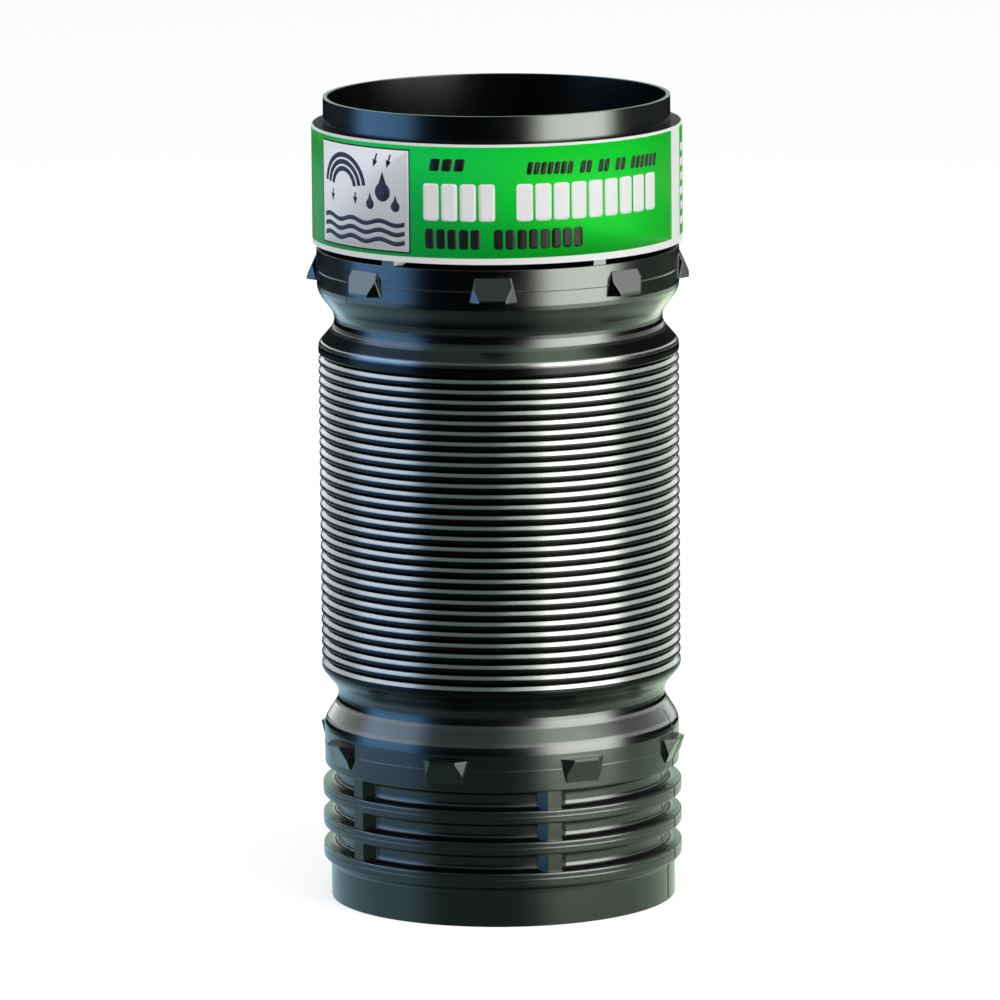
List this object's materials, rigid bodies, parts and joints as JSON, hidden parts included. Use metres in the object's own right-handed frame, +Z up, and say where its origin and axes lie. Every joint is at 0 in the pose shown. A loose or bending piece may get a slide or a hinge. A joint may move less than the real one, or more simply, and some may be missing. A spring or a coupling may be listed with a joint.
{
  "type": "flexible pipe connector",
  "caption": "Short black corrugated pipe connector with a pleated middle, ringed ends with snap lugs and a printed card sleeve round the top end.",
  "frame": {"origin": "centre of the bottom end's edge, on the pipe's axis", "axes": "+Z up along the pipe's axis towards the end with the card sleeve; -Y is the front of the sleeve's print"},
  "size_m": [0.1098, 0.1098, 0.2333],
  "materials": {
    "black_plastic": "satin blow-moulded polyethylene",
    "printed_card": "coated card printed green, white and black"
  },
  "bodies": {
    "root": {"flex_pipe": "black_plastic", "label_sleeve": "printed_card"}
  },
  "joints": []
}
